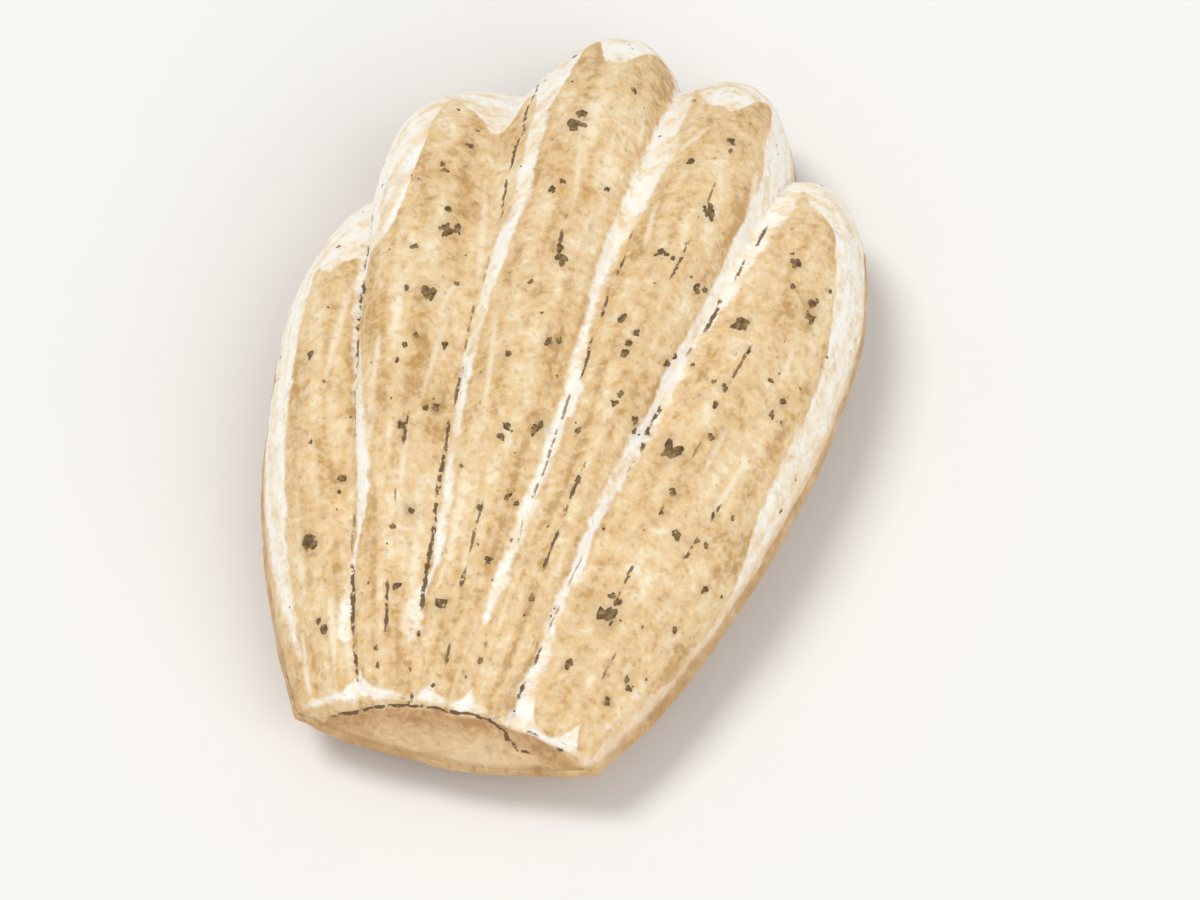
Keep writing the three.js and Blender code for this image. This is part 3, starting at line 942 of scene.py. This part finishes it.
class Shader:
    """The nodes of a material or a world, with short names for making them."""

    def __init__(self, owner):
        owner.use_nodes = True
        self.owner = owner
        self.tree = owner.node_tree
        self.tree.nodes.clear()

    def node(self, kind, inputs, **settings):
        """A node whose inputs, by name or number, are linked to sockets or set to values."""
        made = self.tree.nodes.new("ShaderNode" + kind)
        for key, value in settings.items():
            setattr(made, key, value)
        for key, value in inputs.items():
            if isinstance(value, bpy.types.NodeSocket):
                self.tree.links.new(value, made.inputs[key])
            else:
                made.inputs[key].default_value = value
        return made

    def field(self, name, output="Fac"):
        """One of the mesh's own fields, as a number or as a vector."""
        return self.node("Attribute", {}, attribute_name=name).outputs[output]

    def place(self):
        """The place on the object, in millimetres."""
        where = self.node("TexCoord", {}).outputs["Object"]
        return self.scaled(where, (1 / MM,) * 3)

    def scaled(self, vector, factors):
        made = self.node("VectorMath", {0: vector, 1: factors}, operation="MULTIPLY")
        return made.outputs["Vector"]

    def noise(self, vector, size, detail=3.0, roughness=0.55, distortion=0.0):
        """Noise with one feature size in the vector's own units, about 0 to 1."""
        inputs = {"Vector": vector, "Scale": 1 / size, "Detail": detail}
        inputs.update(Roughness=roughness, Distortion=distortion)
        return self.node("TexNoise", inputs).outputs["Fac"]

    def cells(self, vector, size):
        """Distance from the middle of the nearest cell."""
        inputs = {"Vector": vector, "Scale": 1 / size}
        return self.node("TexVoronoi", inputs).outputs["Distance"]

    def maths(self, operation, first, second=0.0):
        return self.node("Math", {0: first, 1: second}, operation=operation).outputs[0]

    def add(self, first, second):
        return self.maths("ADD", first, second)

    def times(self, first, second):
        return self.maths("MULTIPLY", first, second)

    def total(self, *parts):
        """The sum of values, each given with its weight."""
        result = 0.0
        for value, weight in parts:
            result = self.add(result, self.times(value, weight))
        return result

    def step(self, value, low, high, start=0.0, end=1.0):
        """A soft step of value from start at low to end at high."""
        inputs = {"Value": value, "From Min": low, "From Max": high, "To Min": start, "To Max": end}
        return self.node("MapRange", inputs, interpolation_type="SMOOTHSTEP").outputs[0]

    def mix(self, share, first, second):
        """From the first colour to the second."""
        inputs = {0: share, 6: first, 7: second}
        return self.node("Mix", inputs, data_type="RGBA").outputs[2]

    def layered(self, base, *layers):
        """A colour under layers, each a share and a colour."""
        for share, tint in layers:
            base = self.mix(share, base, tint)
        return base

    def ramp(self, value, stops):
        """A colour that runs through stops, each a value and a colour as seen on a screen."""
        made = self.node("ValToRGB", {"Fac": value})
        elements = made.color_ramp.elements
        elements.remove(elements[1])
        for number, (place, *tint) in enumerate(stops):
            element = elements.new(place) if number else elements[0]
            element.position, element.color = place, colour(*tint)
        return made.outputs["Color"]

    def bumps(self, *layers):
        """The input for relief in layers, each a height and how many millimetres it stands for."""
        normal = {}
        for height, distance in layers:
            inputs = {"Height": height, "Distance": distance * MM, "Strength": 1.0, **normal}
            normal = {"Normal": self.node("Bump", inputs).outputs["Normal"]}
        return normal

    def finish(self, inputs):
        """Wires the material's surface and gives the material."""
        surface = self.node("BsdfPrincipled", inputs).outputs["BSDF"]
        self.node("OutputMaterial", {"Surface": surface})
        return self.owner


# Baked colours, each from its darkest spots to its palest. The shoulder's also holds painted
# highlight, and the end wall's painted shade.
CRUMB = [
    (0.40, 199, 164, 113), (0.46, 225, 195, 148), (0.50, 233, 206, 161),
    (0.54, 238, 215, 173), (0.60, 247, 233, 203),
]
SHOULDER_PALE_AND_HIGHLIGHT = [(0.40, 242, 218, 180), (0.47, 250, 238, 216), (0.54, 255, 252, 244)]
END_WALL_BROWN_AND_SHADE = [(0.36, 186, 142, 94), (0.50, 220, 184, 137), (0.66, 241, 214, 171)]
BACK = [(0.38, 176, 122, 68), (0.50, 210, 161, 99), (0.62, 232, 192, 132)]
GOLD = colour(224, 184, 128)
CREAM = colour(250, 238, 212)
TOASTED = colour(214, 174, 120)
BROWN_AND_PORE_SHADE = colour(171, 129, 82)
SEAM_FAINT_BROWN_AND_SHADE = colour(160, 130, 92)
SEAM_DEEP_BROWN_AND_SHADE = colour(96, 76, 52)
TEA_STAIN = colour(158, 126, 84)
FLOOR_COLOURS = (colour(240, 239, 237), colour(246, 245, 243))
TEA = [(0.38, 90, 66, 34), (0.50, 120, 94, 54), (0.62, 152, 124, 78)]


def crumb_colour(shader, place, flow):
    """Baked crumb: mottled, drawn out a little along the flutes, and golden in patches."""
    streaks = shader.noise(shader.scaled(flow, (1 / 1.8, 1 / 12.0, 1.0)), 1.0, 1.5, 0.5)
    curls = shader.noise(place, 1.1, 2.0, 0.5, 0.4)
    crumbs = shader.step(shader.cells(place, 1.1), 0.1, 0.6, 0.62, 0.38)
    grain = shader.noise(place, 0.45, 3.0, 0.65)
    patches = shader.noise(place, 5.0, 2.0)
    parts = [(streaks, 0.36), (curls, 0.26), (crumbs, 0.11), (grain, 0.18), (patches, 0.09)]
    tone = shader.total(*parts)
    base = shader.mix(shader.step(patches, 0.46, 0.30, 0.0, 0.24), shader.ramp(tone, CRUMB), GOLD)
    warmth = shader.step(shader.noise(place, 0.8, 3.0, 0.6), 0.35, 0.65, 0.95, 1.13)
    inputs = {"Color": base, "Saturation": warmth, "Hue": 0.498}
    return shader.node("HueSaturation", inputs).outputs["Color"]


def fine_pores(shader, place):
    """1 in a fine open pore of the crumb, 0 outside."""
    in_cell = shader.step(shader.cells(place, 0.75), 0.12, 0.32, 1.0, 0.0)
    return shader.times(in_cell, shader.step(shader.noise(place, 1.4, 2.0), 0.46, 0.56))


def shoulder_pale_and_highlight_colour(shader, place, flow):
    """The pale crust round the shoulder, partly a painted highlight, in streaks that follow the
    rim.
    """
    turned = shader.node("SeparateXYZ", {0: flow}).outputs
    inputs = {0: shader.times(shader.field("rim"), 0.5), 1: shader.times(turned[0], 0.2)}
    around = shader.node("CombineXYZ", inputs).outputs[0]
    streaks = shader.noise(around, 1.0, 1.0, 0.5)
    mottle = shader.noise(place, 1.6, 3.0, 0.6)
    grain = shader.noise(place, 0.5, 3.0, 0.65)
    return shader.ramp(shader.total((streaks, 0.4), (mottle, 0.35), (grain, 0.25)), SHOULDER_PALE_AND_HIGHLIGHT)


def wall_brown_and_shade_colour(shader, place):
    """The end wall: browner crust with painted shade, darkest under its crease and paler towards
    its foot.
    """
    depth = shader.step(shader.field("face"), 0.2, 4.0)
    curls = shader.noise(place, 1.8, 4.0, 0.6, 1.8)
    grain = shader.noise(place, 0.45, 3.0, 0.65)
    patches = shader.noise(place, 4.0, 2.0)
    tone = shader.total((depth, 0.2), (curls, 0.4), (patches, 0.25), (grain, 0.15))
    return shader.ramp(tone, END_WALL_BROWN_AND_SHADE)


def back_colour(shader, place):
    patches = shader.noise(place, 6.0, 4.0, 0.6)
    curls = shader.noise(place, 1.8, 3.0, 0.6, 2.0)
    grain = shader.noise(place, 0.45, 3.0, 0.65)
    return shader.ramp(shader.total((patches, 0.5), (curls, 0.3), (grain, 0.2)), BACK)


def crease_brown_and_shade(shader, place):
    """How dark the creases are painted, as browned crust and painted shade: thin lines whose width
    and strength wander.
    """
    wobble = shader.noise(place, 0.7, 2.0, 0.6)
    force = shader.field("crease_force")
    half_width = shader.times(shader.step(wobble, 0.35, 0.65, 0.04, 0.18), force)
    away = shader.maths("ABSOLUTE", shader.field("crease"))
    line = shader.step(away, half_width, shader.add(half_width, 0.12), 1.0, 0.0)
    broken = shader.step(shader.noise(place, 0.9, 2.0, 0.6), 0.40, 0.50, 0.15, 1.0)
    return shader.times(shader.times(line, force), broken)


def crust_material():
    shader = Shader(bpy.data.materials.new("crust"))
    step, times, field = shader.step, shader.times, shader.field
    place, flow = shader.place(), field("flow", "Vector")
    rim = field("rim")
    edge_noise = shader.add(shader.noise(place, 2.0, 4.0, 0.6), -0.5)
    pale = shader.add(field("pale"), times(edge_noise, 2.0))
    above_rim = step(shader.add(rim, times(edge_noise, 5.0)), 0.3, 3.6, 0.4, 0.97)
    baked = step(shader.noise(place, 3.0, 4.0, 0.6), 0.35, 0.65, 0.35, 1.0)
    seam_brown_and_shade, pores = crease_brown_and_shade(shader, place), fine_pores(shader, place)
    base = shader.layered(
        crumb_colour(shader, place, flow),
        (step(pale, -1.2, -0.3, 0.0, 0.15), TOASTED),
        (step(field("stroke"), -0.25, 0.20, 0.0, 0.7), CREAM),
        # Pale shoulder, groove bands and line under the lobes: partly pale crust, partly painted
        # highlight.
        (times(step(pale, -0.45, 0.25), above_rim), shoulder_pale_and_highlight_colour(shader, place, flow)),
        # End wall: browner crust with painted shade.
        (step(field("face"), -0.15, 0.25), wall_brown_and_shade_colour(shader, place)),
        (step(field("under"), 0.3, 0.9), back_colour(shader, place)),
        (times(step(rim, 0.2, 3.0, 0.5, 0.0), baked), TOASTED),
        (times(step(rim, 0.0, 0.8, 0.6, 0.0), baked), BROWN_AND_PORE_SHADE),
        # Browned crust and painted shade along the creases.
        (step(seam_brown_and_shade, 0.0, 0.5, 0.0, 0.7), SEAM_FAINT_BROWN_AND_SHADE),
        (step(seam_brown_and_shade, 0.3, 0.9, 0.0, 0.85), SEAM_DEEP_BROWN_AND_SHADE),
        # Painted shade in the pores.
        (times(pores, 0.10), BROWN_AND_PORE_SHADE),
        (times(field("pore"), 0.2), BROWN_AND_PORE_SHADE),
        (times(field("halo"), 0.3), TEA_STAIN),
    )
    relief = shader.bumps(
        (times(pores, -1.0), 0.08),
        (shader.cells(place, 1.1), -0.10),
        (shader.noise(place, 0.5, 4.0, 0.6), 0.055),
    )
    return shader.finish({
        **relief,
        "Base Color": base,
        "Roughness": step(shader.noise(place, 2.0, 3.0), 0.3, 0.7, 0.48, 0.66),
        "IOR": 1.4,
        "Subsurface Weight": 0.15,
        "Subsurface Radius": (1.0, 0.55, 0.3),
        "Subsurface Scale": 1.2 * MM,
    })


def tea_material():
    shader = Shader(bpy.data.materials.new("tea"))
    place = shader.place()
    return shader.finish({
        "Base Color": shader.ramp(shader.noise(place, 0.6, 4.0, 0.6), TEA),
        "Roughness": 0.62,
        **shader.bumps((shader.noise(place, 0.18, 3.0, 0.6), 0.04)),
    })


def floor_material():
    shader = Shader(bpy.data.materials.new("floor"))
    tone = shader.mix(shader.noise(shader.place(), 60.0, 3.0), *FLOOR_COLOURS)
    return shader.finish({"Base Color": tone, "Roughness": 0.7})


# ---- Floor, light and camera ----

PHOTO_WIDTH, PHOTO_HEIGHT = 1200, 900
CAMERA_AZIMUTH = 12.0
CAMERA_ELEVATION = 60.0
LENS = 135.0
SENSOR = 36.0
PIXELS_PER_MM = 11.0
AIM = np.array([0.5, -2.4, 6.0])  # a point of the cake, and the photograph's pixel that shows it
AIM_PIXEL = (560, 420)
CLIP = (10.0, 10000.0)  # the nearest and the farthest that the camera sees
FLOOR_SIZE = 20000.0

# Each sun's name, where it stands, its spread in degrees, its strength and its colour.
SUNS = [
    ("key", (-0.42, 0.10, 0.90), 24, 1.34, (1.0, 0.99, 0.97)),
    ("fill", (0.60, -0.45, 0.66), 50, 0.98, (1.0, 0.995, 0.99)),
]
SKY_LIGHT = 0.44
HORIZON_LIGHT = 0.95
HORIZON_TOP = 0.35
SKY_COLOUR = (1.0, 0.992, 0.98, 1.0)


def make_floor():
    corners = FLOOR_SIZE / 2 * np.array([[-1, -1, 0], [1, -1, 0], [1, 1, 0], [-1, 1, 0]])
    floor = mesh_object("floor", corners, [np.array([[0, 1, 2, 3]])])
    floor.data.materials.append(floor_material())


def make_world():
    """Pale studio surroundings, brightest at the horizon."""
    world = bpy.data.worlds.new("studio")
    shader = Shader(world)
    where = shader.node("TexCoord", {}).outputs["Generated"]
    height = shader.node("SeparateXYZ", {0: where}).outputs["Z"]
    strength = shader.step(height, 0.0, HORIZON_TOP, HORIZON_LIGHT, SKY_LIGHT)
    light = shader.node("Background", {"Color": SKY_COLOUR, "Strength": strength})
    shader.node("OutputWorld", {"Surface": light.outputs["Background"]})
    bpy.context.scene.world = world


def make_lights():
    """Soft light from far away, and the surroundings."""
    for name, place, spread, strength, tint in SUNS:
        light = bpy.data.lights.new(name, "SUN")
        light.angle, light.energy, light.color = math.radians(spread), strength, tint
        add_object(name, light).rotation_euler = Vector(place).to_track_quat("Z", "Y").to_euler()
    make_world()
    bpy.context.scene.view_settings.view_transform = "Standard"


def make_camera():
    """A camera at the photograph's angle, placed so that AIM falls on AIM_PIXEL."""
    turn = Euler((math.radians(90 - CAMERA_ELEVATION), 0, math.radians(CAMERA_AZIMUTH)))
    right, up, back = np.array(turn.to_matrix()).T
    aside, above = PHOTO_WIDTH / 2 - AIM_PIXEL[0], AIM_PIXEL[1] - PHOTO_HEIGHT / 2
    centre = AIM + (right * aside + up * above) / PIXELS_PER_MM
    camera = add_object("camera", bpy.data.cameras.new("camera"))
    camera.data.lens, camera.data.sensor_width = LENS, SENSOR
    camera.data.clip_start, camera.data.clip_end = CLIP[0] * MM, CLIP[1] * MM
    camera.location = (centre + back * LENS / SENSOR * PHOTO_WIDTH / PIXELS_PER_MM) * MM
    camera.rotation_euler = turn
    bpy.context.scene.camera = camera


def make_cake():
    shape = with_crust(cake_shape())
    places = fleck_places(shape)
    shape["halo"] = halo_field(shape, places)
    cake = cake_object(shape)
    cake.data.materials.append(crust_material())
    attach(cake, "root")
    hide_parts("madeleine")
    flecks = flecks_object(shape, places)
    flecks.data.materials.append(tea_material())
    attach(flecks, "root")


make_cake()
make_floor()
make_lights()
make_camera()
